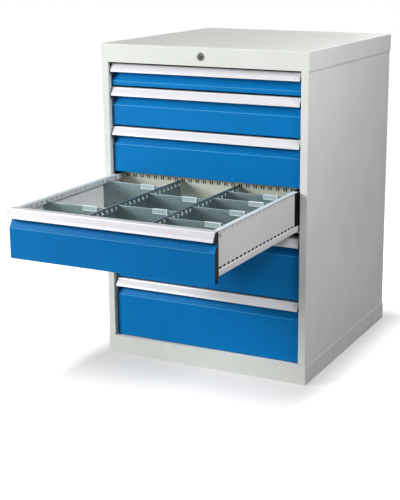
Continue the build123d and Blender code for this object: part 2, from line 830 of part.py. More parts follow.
open_name = "drawer_" + str(open_drawer_number) + "_"
write(open_name + "partitions", [partition(x) for x in partition_places], drawer_travel)
write(open_name + "cross_dividers", cross_dividers(), drawer_travel)
write(open_name + "label_holders", label_holders(), drawer_travel)

write("lock_rosette", lock_rosette())
write("lock_housing", lock_housing())
write("lock_cylinder", lock_cylinder())
write("lock_cam", lock_cam())
write("lock_link", lock_link())
write("lock_crank", crank())
write("lock_crank_bracket", crank_bracket())
write("locking_bar", locking_bar())
write("locking_hooks", locking_hooks())
write("lock_guides", lock_guides())
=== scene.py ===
import json
from math import atan2, cos, hypot, pi, radians, sin, tan

import bmesh
import bpy
from mathutils import Matrix, Vector


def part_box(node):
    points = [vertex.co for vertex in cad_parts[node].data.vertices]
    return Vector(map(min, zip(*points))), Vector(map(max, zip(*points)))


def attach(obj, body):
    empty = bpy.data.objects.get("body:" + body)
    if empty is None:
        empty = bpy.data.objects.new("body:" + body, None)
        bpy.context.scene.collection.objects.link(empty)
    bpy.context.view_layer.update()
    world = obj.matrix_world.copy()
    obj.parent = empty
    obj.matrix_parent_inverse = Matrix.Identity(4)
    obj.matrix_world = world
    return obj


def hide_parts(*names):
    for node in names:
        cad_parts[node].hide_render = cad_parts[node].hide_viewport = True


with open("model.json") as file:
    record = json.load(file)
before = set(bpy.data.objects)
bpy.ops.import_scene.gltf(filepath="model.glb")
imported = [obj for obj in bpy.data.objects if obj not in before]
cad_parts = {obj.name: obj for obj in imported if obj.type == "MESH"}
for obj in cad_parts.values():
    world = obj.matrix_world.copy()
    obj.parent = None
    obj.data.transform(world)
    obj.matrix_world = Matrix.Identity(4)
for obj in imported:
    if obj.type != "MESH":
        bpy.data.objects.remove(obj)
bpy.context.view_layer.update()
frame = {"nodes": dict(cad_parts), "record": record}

# Looks of the drawer cabinet: finishes, pressed details, light, floor and camera.
# Metres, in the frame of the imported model: +X right, +Y to the back, +Z up, drawers open to -Y.

MM = 0.001
nodes = frame["nodes"]
slots = {part["node"]: part["material_slot"] for part in frame["record"]["subparts"]}


def srgb(red, green, blue):
    """Linear colour of a tone given in 8-bit steps."""
    return tuple(((step / 255 + 0.055) / 1.055) ** 2.4 if step > 10 else step / 255 / 12.92
                 for step in (red, green, blue)) + (1,)


def put(name, data):
    """New object of the scene, at the origin."""
    holder = bpy.data.objects.new(name, data)
    bpy.context.scene.collection.objects.link(holder)
    return holder


# Node trees

def feed(tree, socket, value):
    """Set a socket to a value, or link it where the value is another node's socket."""
    if isinstance(value, bpy.types.NodeSocket):
        tree.links.new(value, socket)
    else:
        socket.default_value = value


def add(tree, kind, inputs=None, **settings):
    """Add a node, set it and feed its inputs."""
    node = tree.nodes.new(kind)
    for name, value in settings.items():
        setattr(node, name, value)
    for name, value in (inputs or {}).items():
        feed(tree, node.inputs[name], value)
    return node


def math(tree, operation, *values, clamp=False):
    """Result of a sum on one to three values or sockets."""
    inputs = dict(enumerate(values))
    return add(tree, "ShaderNodeMath", inputs, operation=operation, use_clamp=clamp).outputs[0]


def split(tree, vector):
    """The X, Y and Z of a vector."""
    return add(tree, "ShaderNodeSeparateXYZ", {0: vector}).outputs


def joined(tree, **shares):
    """Vector of its X, Y and Z. What isn't named is zero."""
    return add(tree, "ShaderNodeCombineXYZ", shares).outputs[0]


def mix_colour(tree, factor, first, second):
    """Colour between two others."""
    node = add(tree, "ShaderNodeMix", data_type="RGBA")
    for number, value in ((0, factor), (6, first), (7, second)):
        feed(tree, node.inputs[number], value)
    return node.outputs[2]


def ramp(tree, value, low, high, start=0.0, end=1.0):
    """Map a value from one range to another, smoothly and without overshoot."""
    inputs = {"Value": value, "From Min": low, "From Max": high, "To Min": start, "To Max": end}
    return add(tree, "ShaderNodeMapRange", inputs, interpolation_type="SMOOTHSTEP").outputs[0]


def noise(tree, vector, scale, detail=3.0, roughness=0.5):
    """Soft noise from 0 to 1."""
    inputs = {"Vector": vector, "Scale": scale, "Detail": detail, "Roughness": roughness}
    return add(tree, "ShaderNodeTexNoise", inputs).outputs["Fac"]


def rise(tree):
    """How far a face looks up, from -1 to 1."""
    return split(tree, add(tree, "ShaderNodeNewGeometry").outputs["Normal"])["Z"]


def seen_by_eye(tree):
    """1 for what the camera sees, also through glass and in a reflection, and 0 for the light."""
    path = add(tree, "ShaderNodeLightPath").outputs
    eye = math(tree, "MAXIMUM", path["Is Camera Ray"], path["Is Transmission Ray"])
    return math(tree, "MAXIMUM", eye, path["Is Glossy Ray"])


def empty_tree(owner):
    """Node tree of a material or world, cleared."""
    owner.use_nodes = True
    owner.node_tree.nodes.clear()
    return owner.node_tree


def shared_effect(name, inputs, outputs, build_tree):
    """Node group with named inputs and outputs."""
    tree = bpy.data.node_groups.new(name, "ShaderNodeTree")
    for label, default in inputs.items():
        kind = "NodeSocketVector" if default is None else "NodeSocketFloat"
        socket = tree.interface.new_socket(label, in_out="INPUT", socket_type=kind)
        if default is not None:
            socket.default_value = default
    for label in outputs:
        tree.interface.new_socket(label, in_out="OUTPUT", socket_type="NodeSocketFloat")
    results = build_tree(tree, tree.nodes.new("NodeGroupInput").outputs)
    leave = tree.nodes.new("NodeGroupOutput").inputs
    for label, socket in zip(outputs, results):
        tree.links.new(socket, leave[label])
    return tree


def use(tree, effect, **inputs):
    """Place a shared effect in a material. Underscores in an input's name stand for spaces."""
    node = tree.nodes.new("ShaderNodeGroup")
    node.node_tree = effect
    for name, value in inputs.items():
        feed(tree, node.inputs[name.replace("_", " ")], value)
    return node.outputs


# Shared effects

def build_coat(tree, entry):
    """Powder coat: fine orange peel, and soft clouds in tone over a hand's width."""
    scale = math(tree, "DIVIDE", 1.0, entry["Grain Size"])
    peel = noise(tree, entry["Vector"], scale, detail=2.0)
    cells = add(tree, "ShaderNodeTexVoronoi", {"Vector": entry["Vector"], "Scale": scale},
                feature="SMOOTH_F1")
    height = math(tree, "ADD", peel, math(tree, "MULTIPLY", cells.outputs["Distance"], 0.6))
    clouds = noise(tree, entry["Vector"], entry["Cloud Scale"], detail=4.0, roughness=0.6)
    return height, ramp(tree, clouds, 0.3, 0.7), ramp(tree, peel, 0.35, 0.65)


def build_edge_wear(tree, entry):
    """Thin rubbed line along sharp folds, broken up by noise."""
    rounded = add(tree, "ShaderNodeBevel", {"Radius": entry["Radius"]}, samples=4)
    true = add(tree, "ShaderNodeNewGeometry")
    dot = add(tree, "ShaderNodeVectorMath", {0: rounded.outputs[0], 1: true.outputs["Normal"]},
              operation="DOT_PRODUCT")
    edge = ramp(tree, dot.outputs["Value"], 0.995, 0.93)
    spots = noise(tree, entry["Vector"], 60.0, detail=5.0, roughness=0.7)
    patches = ramp(tree, spots, 0.35, 0.7)
    rubbed = math(tree, "MULTIPLY", edge, patches)
    return [math(tree, "MULTIPLY", rubbed, entry["Amount"], clamp=True)]


def build_dust(tree, entry):
    """Thin dust on what faces up, and scuffs near the floor."""
    spots = noise(tree, entry["Vector"], 9.0, detail=6.0, roughness=0.65)
    streaks = noise(tree, entry["Vector"], 34.0, detail=5.0, roughness=0.7)
    level, low = ramp(tree, rise(tree), 0.6, 1.0), split(tree, entry["Vector"])["Z"]
    settled = math(tree, "MULTIPLY", level, ramp(tree, spots, 0.35, 0.75))
    scuffed = math(tree, "MULTIPLY", ramp(tree, low, entry["Scuff Height"], 0.0),
                   ramp(tree, streaks, 0.5, 0.72))
    return [math(tree, "MULTIPLY", soil, entry["Amount"]) for soil in (settled, scuffed)]


def build_spangle(tree, entry):
    """Crystals of a zinc coat: flat cells, each with its own tone."""
    scale = math(tree, "DIVIDE", 1.0, entry["Crystal Size"])
    warp = noise(tree, entry["Vector"], scale, detail=2.0)
    shift = add(tree, "ShaderNodeVectorMath", {0: warp, "Scale": 0.004}, operation="SCALE")
    place = add(tree, "ShaderNodeVectorMath", {0: entry["Vector"], 1: shift.outputs[0]},
                operation="ADD")
    cells = add(tree, "ShaderNodeTexVoronoi", {"Vector": place.outputs[0], "Scale": scale})
    tone = split(tree, cells.outputs["Color"])["X"]
    fine = noise(tree, entry["Vector"], math(tree, "MULTIPLY", scale, 6.0))
    shares = [math(tree, "MULTIPLY", part, share) for part, share in ((tone, 0.7), (fine, 0.3))]
    return math(tree, "ADD", *shares), fine


def build_drawn(tree, entry):
    """Fine lines along X, left by a die or by rolling."""
    stretch = add(tree, "ShaderNodeVectorMath", {0: entry["Vector"], 1: (4.0, 900.0, 900.0)},
                  operation="MULTIPLY")
    return [noise(tree, stretch.outputs[0], 1.0, roughness=0.6)]


def build_fold_highlight(tree, entry):
    """Painted highlight: band where a face turns from upright to slanted."""
    up = rise(tree)
    band = math(tree, "MULTIPLY", ramp(tree, up, 0.04, 0.12), ramp(tree, up, 0.38, 0.30))
    return [math(tree, "MULTIPLY", band, entry["Amount"], clamp=True)]


coat = shared_effect(
    "powder_coat", {"Vector": None, "Grain Size": 0.0012, "Cloud Scale": 7.0},
    ("Height", "Clouds", "Speck"), build_coat)
edge_wear = shared_effect(
    "edge_wear", {"Vector": None, "Radius": 0.0012, "Amount": 0.5}, ("Mask",), build_edge_wear)
dust = shared_effect(
    "dust_and_scuffs", {"Vector": None, "Amount": 0.3, "Scuff Height": 0.06},
    ("Dust", "Scuffs"), build_dust)
spangle = shared_effect(
    "zinc_spangle", {"Vector": None, "Crystal Size": 0.006}, ("Tone", "Fine"), build_spangle)
drawn = shared_effect("drawn_lines", {"Vector": None}, ("Lines",), build_drawn)
# Painted highlight along the fold of a front.
fold_highlight = shared_effect("fold_highlight", {"Amount": 0.5}, ("Mask",), build_fold_highlight)


# Materials

finishes = {}
dust_tone, scuff_tone = srgb(196, 192, 182), srgb(120, 118, 112)
bare_zinc, bare_rail = srgb(225, 228, 226), srgb(252, 252, 252)


def new_material(name):
    """Start a finish. Gives its tree, its Principled shader and the place on the object."""
    material = finishes[name] = bpy.data.materials.new(name)
    material.use_nodes = True
    tree = material.node_tree
    place = add(tree, "ShaderNodeTexCoord").outputs["Object"]
    return tree, tree.nodes["Principled BSDF"], place


def bump(tree, shader, height, strength, distance=0.0001):
    """Fine relief of the surface."""
    relief = {"Strength": strength, "Distance": distance, "Height": height}
    feed(tree, shader.inputs["Normal"], add(tree, "ShaderNodeBump", relief).outputs["Normal"])


def painted(name, colour, shade, worn_and_highlight, grain, roughness, wear, dusty, relief, gloss=0.5, fold=0.0):
    """Powder-coated sheet. Over the fold of a front it can carry a painted highlight in the paler
    worn tone.
    """
    tree, shader, place = new_material(name)
    shader.inputs["Specular IOR Level"].default_value = gloss
    skin = use(tree, coat, Vector=place, Grain_Size=grain)
    rubbed = use(tree, edge_wear, Vector=place, Amount=wear)["Mask"]
    soil = use(tree, dust, Vector=place, Amount=dusty)
    tone = mix_colour(tree, skin["Clouds"], colour, shade)
    tone = mix_colour(tree, math(tree, "MULTIPLY", skin["Speck"], 0.10), tone, shade)
    tone = mix_colour(tree, soil["Dust"], tone, dust_tone)
    tone = mix_colour(tree, soil["Scuffs"], tone, scuff_tone)
    tone = mix_colour(tree, rubbed, tone, worn_and_highlight)
    # Painted highlight along the fold of a front, in the paler worn tone.
    if fold:
        tone = mix_colour(tree, use(tree, fold_highlight, Amount=fold)["Mask"], tone, worn_and_highlight)
    feed(tree, shader.inputs["Base Color"], tone)
    rough = ramp(tree, skin["Clouds"], 0.0, 1.0, roughness - 0.04, roughness + 0.05)
    feed(tree, shader.inputs["Roughness"], rough)
    bump(tree, shader, skin["Height"], strength=relief, distance=0.0002)


def zinc(name, colour, shade, crystal, roughness, wear=0.7, metallic=1.0):
    """Zinc-coated sheet."""
    tree, shader, place = new_material(name)
    crystals = use(tree, spangle, Vector=place, Crystal_Size=crystal)
    rubbed = use(tree, edge_wear, Vector=place, Amount=wear)["Mask"]
    tone = mix_colour(tree, crystals["Tone"], colour, shade)
    feed(tree, shader.inputs["Base Color"], mix_colour(tree, rubbed, tone, bare_zinc))
    shader.inputs["Metallic"].default_value = metallic
    rough = ramp(tree, crystals["Tone"], 0.0, 1.0, roughness - 0.06, roughness + 0.08)
    feed(tree, shader.inputs["Roughness"], rough)
    bump(tree, shader, crystals["Fine"], strength=0.12)


def rail(name, colour, shade, roughness, metallic):
    """Extruded rail with die lines along its length."""
    tree, shader, place = new_material(name)
    lines = use(tree, drawn, Vector=place)["Lines"]
    rubbed = use(tree, edge_wear, Vector=place, Amount=0.6)["Mask"]
    tone = mix_colour(tree, lines, colour, shade)
    feed(tree, shader.inputs["Base Color"], mix_colour(tree, rubbed, tone, bare_rail))
    shader.inputs["Metallic"].default_value = metallic
    rough = ramp(tree, lines, 0.3, 0.7, roughness - 0.05, roughness + 0.08)
    feed(tree, shader.inputs["Roughness"], rough)
    bump(tree, shader, lines, strength=0.1)


def plastic(name, colour, shade, roughness, gloss=0.5):
    """Moulded plastic with a fine grain."""
    tree, shader, place = new_material(name)
    shader.inputs["Specular IOR Level"].default_value = gloss
    skin = use(tree, coat, Vector=place, Grain_Size=0.0008)
    feed(tree, shader.inputs["Base Color"], mix_colour(tree, skin["Clouds"], colour, shade))
    rough = ramp(tree, skin["Speck"], 0.0, 1.0, roughness, roughness + 0.06)
    feed(tree, shader.inputs["Roughness"], rough)
    bump(tree, shader, skin["Height"], strength=0.08)


painted("casing_grey", srgb(230, 233, 227), srgb(226, 229, 223), srgb(240, 243, 238),
        grain=0.0012, roughness=0.48, wear=0.1, dusty=0.08, relief=0.18, gloss=0.05)
# The paler tone serves both rubbed edges and the painted highlight along the fold under each
# handle.
painted("drawer_blue", srgb(6, 124, 194), srgb(4, 117, 187), srgb(96, 184, 226),
        grain=0.0014, roughness=0.42, wear=0.2, dusty=0.0, relief=0.22, gloss=0.08, fold=0.5)
rail("handle_white", srgb(216, 216, 217), srgb(208, 208, 210), roughness=0.42, metallic=0.15)
plastic("label_strip", srgb(220, 220, 224), srgb(215, 215, 220), roughness=0.4, gloss=0.3)
zinc("galvanised_sheet", srgb(222, 224, 208), srgb(208, 212, 198),
     crystal=0.007, roughness=0.42, wear=0.2, metallic=0.4)
painted("drawer_side", srgb(222, 222, 220), srgb(218, 218, 216), srgb(236, 236, 234),
        grain=0.0012, roughness=0.46, wear=0.2, dusty=0.0, relief=0.16, gloss=0.05)
# Pale tone for the painted highlight on the tops of the box's sides.
painted("rim_strip", srgb(234, 246, 244), srgb(228, 241, 239), srgb(246, 252, 250),
        grain=0.0012, roughness=0.4, wear=0.2, dusty=0.0, relief=0.1)
# Darker, bluer zinc than the tray's sheet: partly the dividers' own tone, partly painted shade for
# dividers that stand in shade in the drawer.
zinc("divider_sheet", srgb(144, 162, 165), srgb(118, 139, 144),
     crystal=0.006, roughness=0.42, wear=0.1, metallic=0.85)
# Brighter zinc than the sheets the beads are pressed in: painted highlight on the beads.
zinc("bead_highlight", srgb(214, 226, 228), srgb(190, 206, 210), crystal=0.002, roughness=0.3)
plastic("label_holder", srgb(226, 238, 238), srgb(216, 230, 230), roughness=0.22)
plastic("label_card", srgb(174, 195, 198), srgb(164, 186, 190), roughness=0.5, gloss=0.2)
zinc("runner_steel", srgb(200, 202, 204), srgb(186, 188, 190), crystal=0.003, roughness=0.34)
painted("inner_sheet", srgb(205, 207, 203), srgb(200, 202, 198), srgb(225, 226, 222),
        grain=0.0012, roughness=0.55, wear=0.2, dusty=0.08, relief=0.15, gloss=0.2)
zinc("screw_zinc", srgb(214, 214, 208), srgb(200, 200, 194), crystal=0.002, roughness=0.28)
plastic("handle_end", srgb(122, 122, 124), srgb(114, 114, 117), roughness=0.5, gloss=0.2)
# Darker than bright nickel: painted dark reflection on the chrome ring.
zinc("lock_nickel", srgb(122, 120, 114), srgb(106, 104, 99), crystal=0.001, roughness=0.2)
zinc("lock_dark", srgb(62, 62, 58), srgb(48, 48, 46), crystal=0.001, roughness=0.26)
zinc("lock_steel", srgb(198, 196, 186), srgb(184, 182, 172), crystal=0.003, roughness=0.33)
# Grey for the painted shadow lines where the cap ends on the sides.
plastic("seam_shade", srgb(156, 156, 153), srgb(150, 150, 147), roughness=0.6, gloss=0.05)
plastic("guide_plastic", srgb(24, 20, 22), srgb(18, 15, 17), roughness=0.55, gloss=0.06)

for name, piece in nodes.items():
    piece.data.materials.clear()
    piece.data.materials.append(finishes[slots[name]])


# Shapes. Sections are drawn in millimetres and carried along an axis.

along_axis = {"x": lambda u, v, s: (s, u, v),
              "y": lambda u, v, s: (u, s, v),
              "z": lambda u, v, s: (u, v, s)}


def rounded_line(points, bend, steps=4, softer=None):
    """Line with its corners rounded, to other radii where softer names a corner's number."""
    nearly_straight = 0.01
    points = [Vector(point) for point in points]
    line = [points[0]]
    radii = [(softer or {}).get(i, bend) for i in range(1, len(points) - 1)]
    for before, corner, after, radius in zip(points, points[1:], points[2:], radii):
        enter, leave = (corner - before).normalized(), (after - corner).normalized()
        angle = atan2(enter.cross(leave), enter.dot(leave))
        if abs(angle) < nearly_straight:
            line.append(corner)
            continue
        start = corner - enter * radius * tan(abs(angle) / 2)
        spoke = Vector((enter.y, -enter.x)) * (radius if angle > 0 else -radius)
        line += [start - spoke + Matrix.Rotation(angle * step / steps, 2) @ spoke
                 for step in range(steps + 1)]
    line.append(points[-1])
    return line


def sheet(line, axis, stations, is_hole=None):
    """Middle surface of a folded sheet: its section's line carried through the stations."""
    corners = [along_axis[axis](u, v, s) for s in stations for u, v in line]
    width = len(line)
    faces = []
    for i in range(len(stations) - 1):
        for j in range(width - 1):
            middle = (line[j] + line[j + 1]) / 2
            if is_hole and is_hole(middle.x, middle.y, (stations[i] + stations[i + 1]) / 2):
                continue
            k = i * width + j
            faces.append((k, k + 1, k + width + 1, k + width))
    return corners, faces


def prism(section, axis, start, end):
    """Closed solid with a flat section."""
    count = len(section)
    corners = [along_axis[axis](u, v, s) for s in (start, end) for u, v in section]
    faces = [tuple(range(count)), tuple(range(2 * count - 1, count - 1, -1))]
    faces += [(i, i + count, (i + 1) % count + count, (i + 1) % count) for i in range(count)]
    return corners, faces


def slab(x, y, z):
    """Closed box between two values on each axis."""
    return prism([(x[0], y[0]), (x[1], y[0]), (x[1], y[1]), (x[0], y[1])], "z", *z)


def turned(profile, height, count=64):
    """Closed ring or disc turned around an axis along Y. The profile gives radius and depth."""
    corners, faces = [], []
    size = len(profile)
    for i in range(count):
        turn = 2 * pi * i / count
        corners += [(r * cos(turn), y, height + r * sin(turn)) for r, y in profile]
        here, there = i * size, (i + 1) % count * size
        for j in range(size):
            after = (j + 1) % size
            faces.append((here + j, here + after, there + after, there + j))
    return corners, faces


def mirrored(shape):
    """The same shape for the left side."""
    corners, faces = shape
    return [(-x, y, z) for x, y, z in corners], faces


def both_sides(shapes):
    """The shapes of the right side and their like on the left."""
    return shapes + [mirrored(shape) for shape in shapes]


# Pieces

def form_of(shapes, shift=(0.0, 0.0, 0.0), merged=0.01):
    """Form of shapes in millimetres, with points that lie nearer than merged made one."""
    form = bmesh.new()
    for corners, faces in shapes:
        points = [form.verts.new(Vector(corner) * MM + Vector(shift)) for corner in corners]
        for face in faces:
            form.faces.new([points[i] for i in face])
    bmesh.ops.remove_doubles(form, verts=form.verts, dist=merged * MM)
    return form


def mesh_of(name, form, closed=True):
    """Mesh of a form, facing outwards where it is closed."""
    if closed:
        bmesh.ops.recalc_face_normals(form, faces=form.faces)
    mesh = bpy.data.meshes.new(name)
    form.to_mesh(mesh)
    form.free()
    return mesh


def settle(piece):
    """Make the modifiers' result the piece's own plain mesh."""
    evaluated = piece.evaluated_get(bpy.context.evaluated_depsgraph_get())
    mesh = bpy.data.meshes.new_from_object(evaluated)
    piece.modifiers.clear()
    piece.data = mesh
    mesh.name = piece.name


def dress(piece, body, replaced=()):
    """Put a piece on the body it rides on, and hide the CAD nodes it stands for."""
    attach(piece, body)
    if replaced:
        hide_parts(*replaced)


def build(name, shapes, finish, body, replaced=(), sheet_thickness=0.0, edge=0.2,
          shift=(0.0, 0.0, 0.0)):
    """Make a piece of the shapes, with rounded edges, and put it on its body."""
    mesh = mesh_of(name, form_of(shapes, shift), closed=not sheet_thickness)
    mesh.polygons.foreach_set("use_smooth", [True] * len(mesh.polygons))
    mesh.materials.append(finishes[finish])
    piece = put(name, mesh)
    if sheet_thickness:
        wall = piece.modifiers.new("wall", "SOLIDIFY")
        wall.thickness, wall.offset, wall.use_even_offset = sheet_thickness * MM, 0.0, True
    if edge:
        rounding = piece.modifiers.new("rounding", "BEVEL")
        rounding.width, rounding.segments, rounding.limit_method = edge * MM, 2, "ANGLE"
        rounding.angle_limit = radians(40.0)
    piece.modifiers.new("flat_faces", "WEIGHTED_NORMAL").keep_sharp = True
    settle(piece)
    dress(piece, body, replaced)


def build_on_drawer(number, label, shapes, finish, stands_for=None, **more):
    """Make a drawer's piece of shapes that are drawn in the drawer's own measures."""
    drawer = "drawer_%d" % number
    replaced = ["%s_%s" % (drawer, stands_for)] if stands_for else ()
    build("%s_%s" % (drawer, label), shapes, finish, drawer, replaced, shift=datum(number), **more)


# Repeats

def repeat_tree(name, sizes, shape):
    """Geometry nodes that set one shape on every point, turned as the point says."""
    tree = bpy.data.node_groups.new(name, "GeometryNodeTree")
    kinds = {"Places": "Geometry", **dict.fromkeys(sizes, "Float"), "Finish": "Material"}
    for label, kind in kinds.items():
        tree.interface.new_socket(label, in_out="INPUT", socket_type="NodeSocket" + kind)
    tree.interface.new_socket("Pieces", in_out="OUTPUT", socket_type="NodeSocketGeometry")
    entry = tree.nodes.new("NodeGroupInput").outputs
    turn = add(tree, "GeometryNodeInputNamedAttribute", {"Name": "turn"}, data_type="FLOAT_VECTOR")
    turn = add(tree, "FunctionNodeEulerToRotation", {0: turn.outputs["Attribute"]}).outputs[0]
    repeated = add(tree, "GeometryNodeInstanceOnPoints",
                   {"Points": entry["Places"], "Instance": shape(tree, entry), "Rotation": turn})
    plain = add(tree, "GeometryNodeRealizeInstances", {0: repeated.outputs[0]})
    finished = add(tree, "GeometryNodeSetMaterial",
                   {"Geometry": plain.outputs[0], "Material": entry["Finish"]})
    tree.links.new(finished.outputs[0], tree.nodes.new("NodeGroupOutput").inputs["Pieces"])
    return tree


def moved(tree, geometry, **change):
    """Geometry moved by its Translation or turned by its Rotation."""
    return add(tree, "GeometryNodeTransform", {"Geometry": geometry, **change}).outputs[0]


def collar_shape(tree, entry):
    """Rounded bead round a slot, standing on X."""
    slot = add(tree, "GeometryNodeCurvePrimitiveQuadrilateral",
               {"Width": entry["Slot Width"], "Height": entry["Slot Height"]})
    soft = add(tree, "GeometryNodeFilletCurve",
               {"Curve": slot.outputs[0], "Radius": entry["Corner"], "Count": 2}, mode="POLY")
    bead = add(tree, "GeometryNodeCurvePrimitiveCircle", {"Resolution": 6, "Radius": entry["Bead"]})
    ring = add(tree, "GeometryNodeCurveToMesh",
               {"Curve": soft.outputs[0], "Profile Curve": bead.outputs["Curve"]})
    return moved(tree, ring.outputs[0], Rotation=(pi / 2, 0.0, pi / 2))


def screw_shape(tree, entry):
    """Pan head with a cross recess, and its shank, standing on Z."""
    def share(label, factor):
        return math(tree, "MULTIPLY", entry[label], factor)

    head = add(tree, "GeometryNodeMeshCone", {
        "Vertices": 28, "Radius Top": share("Head Radius", 0.72),
        "Radius Bottom": entry["Head Radius"], "Depth": entry["Head Height"]}).outputs["Mesh"]
    long, thin = share("Head Radius", 1.05), share("Head Radius", 0.24)
    deep = share("Head Height", 1.2)
    for x, y in ((long, thin), (thin, long)):
        bar = add(tree, "GeometryNodeMeshCube", {"Size": joined(tree, X=x, Y=y, Z=deep)})
        bar = moved(tree, bar.outputs["Mesh"], Translation=joined(tree, Z=entry["Head Height"]))
        cut = add(tree, "GeometryNodeMeshBoolean", {0: head, 1: bar}, operation="DIFFERENCE")
        head = cut.outputs["Mesh"]
    shank = add(tree, "GeometryNodeMeshCylinder", {
        "Vertices": 20, "Radius": entry["Shank Radius"], "Depth": entry["Shank Length"]})
    shank = moved(tree, shank.outputs["Mesh"],
                  Translation=joined(tree, Z=share("Shank Length", -0.5)))
    both = tree.nodes.new("GeometryNodeJoinGeometry")
    for part in (shank, head):
        tree.links.new(part, both.inputs[0])
    return both.outputs[0]


collars = repeat_tree(
    "slot_collars", ("Slot Width", "Slot Height", "Corner", "Bead"), collar_shape)
screws = repeat_tree(
    "cross_head_screws", ("Head Radius", "Head Height", "Shank Radius", "Shank Length"),
    screw_shape)


def repeat(name, tree, places, sizes, finish, body, replaced=(), shift=(0.0, 0.0, 0.0)):
    """Put a repeated shape at its places, each a point and a turn, as one plain mesh."""
    mesh = bpy.data.meshes.new(name)
    mesh.from_pydata([Vector(place) * MM + Vector(shift) for place, _ in places], [], [])
    turns = mesh.attributes.new("turn", "FLOAT_VECTOR", "POINT")
    turns.data.foreach_set("vector", [angle for _, turn in places for angle in turn])
    piece = put(name, mesh)
    rule = piece.modifiers.new("repeat", "NODES")
    rule.node_group = tree
    sockets = {item.name: item.identifier for item in tree.interface.items_tree
               if item.in_out == "INPUT"}
    for label, size in sizes.items():
        rule[sockets[label]] = size * MM
    rule[sockets["Finish"]] = finishes[finish]
    settle(piece)
    dress(piece, body, replaced)


# Sizes in millimetres. A drawer's pieces are drawn as depths behind the casing's front plane, and
# heights from the top of its handle.

pitches = {1: 75.0, 2: 125.0, 3: 150.0, 4: 150.0, 5: 200.0, 6: 200.0}
open_drawer = 4
front_half, box_half, rim_inner = 321.0, 319.0, 304.0
box_front_depth, box_rear_depth = 34.0, 610.0
slant_depth, slant_drop, handle_wall = 12.5, 25.5, 3.2
slant = hypot(slant_depth, slant_drop)
ledge_depth, ledge_sheet, handle_back = 14.0, 1.5, box_front_depth + 2.0
rim_level = -1.5
runner_space, skirt_height, skirt_step, skirt_band = 27.5, 24.5, 2.5, 15.0
slot_pitch, slot_first, slot_count = 25.0, 13.5, 23
slot_places = [box_front_depth + slot_first + slot_pitch * i for i in range(slot_count)]
slot_drop = 8.0
# Where the painted shade at the rear of the box's sides starts and ends.
rear_shade_start, rear_shade_end = box_rear_depth - 48.0, box_rear_depth - 0.5
# The painted shadow strip under the fascia stops this far above the top handle.
opening_half, fascia_gap, shadow_strip_clearance = 326.0, 4.5, 0.9
unturned = (0.0, 0.0, 0.0)


def datum(number):
    """Shift from a drawer's own measures to the model: its front plane and its handle's top."""
    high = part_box("drawer_%d_handle" % number)[1]
    return (0.0, high.y - handle_back * MM, high.z)


def handle_point(along, outward):
    """Point of the handle's section, down its slanted face and out from it."""
    forward, down = slant_depth / slant, slant_drop / slant
    return (ledge_depth - along * forward - outward * down, -along * down + outward * forward)


def handle_rail(number):
    """Rail with a lipped channel for the label strip, a grooved lower lip and end plates."""
    channel, lip, groove, fold = -1.4, -0.4, -0.6, 1.6
    stop_depth, plate_inset, plate_proud = 0.9, 0.3, 0.9
    face = [(0.0, 0.0), (4.2, 0.0), (4.2, lip), (3.5, lip), (3.5, channel),
            (slant - 6.6, channel), (slant - 6.6, lip), (slant - 7.3, lip), (slant - 7.3, 0.0),
            (slant - 5.1, 0.0), (slant - 5.1, groove), (slant - 4.3, groove), (slant - 4.3, 0.0),
            (slant - 1.4, 0.0), (slant - 0.4, -0.4), (slant, -1.4), (slant, -handle_wall)]
    section = [handle_point(*corner) for corner in face]
    section += [handle_point(fold, -handle_wall), (ledge_depth + 4.6, -ledge_sheet),
                (handle_back, -ledge_sheet), (handle_back, 0.0)]
    stop = [handle_point(*corner)
            for corner in ((3.0, -1.5), (slant - 6.0, -1.5), (slant - 6.0, -0.15), (3.0, -0.15))]
    shapes = [prism(section, "x", -front_half, front_half)]
    shapes += both_sides([prism(stop, "x", front_half - stop_depth, front_half)])
    build_on_drawer(number, "handle_rail", shapes, "handle_white", "handle", edge=0.3)
    plate = [handle_point(*corner)
             for corner in ((0.0, 0.0), (slant, 0.0), (slant, -handle_wall), (fold, -handle_wall))]
    plate = prism(plate, "x", front_half - plate_inset, front_half + plate_proud)
    build_on_drawer(number, "handle_ends", both_sides([plate]), "handle_end")


def front_panel(number):
    """Folded front: ledge, recess behind the handle, bevel, face, and a lip cut low at its ends."""
    above_next_handle = 6.5
    foot, low_lip, lip = [above_next_handle - pitches[number] + rise for rise in (0.0, 16.0, 54.0)]
    back, recess, face = 33.3, 27.5, 13.5
    ledge, recess_foot, bevel_foot = -2.2, -33.5, -55.5
    inner = front_half - 20.0
    bend, soft_bend, soft_corner = 1.5, 6.0, 3
    line = rounded_line([(back, ledge), (recess, ledge), (recess, recess_foot), (face, bevel_foot),
                         (face, foot), (back, foot), (back, low_lip), (back, lip)],
                        bend, 6, {soft_corner: soft_bend})

    def cut_low(y, z, x):
        return abs(x) > inner and y > back - 0.1 and low_lip < z < lip

    shape = sheet(line, "x", [-front_half, -inner, inner, front_half], cut_low)
    build_on_drawer(number, "front_panel", [shape], "drawer_blue", "front",
                    sheet_thickness=1.0, edge=0.25)


def end_caps(number):
    """Dark caps that close the ends of the front between its face and the drawer's side."""
    foot = 23.0 - pitches[number]
    rear, face, gap, proud = 33.9, 14.3, 0.05, 0.7
    outline = [(rear, -1.7), (17.0, -1.7), (5.4, -26.9), (28.1, -33.8), (face, -55.6),
               (face, foot), (rear, foot)]
    cap = prism(outline, "x", front_half + gap, front_half + proud)
    build_on_drawer(number, "end_caps", both_sides([cap]), "guide_plastic", edge=0.15)


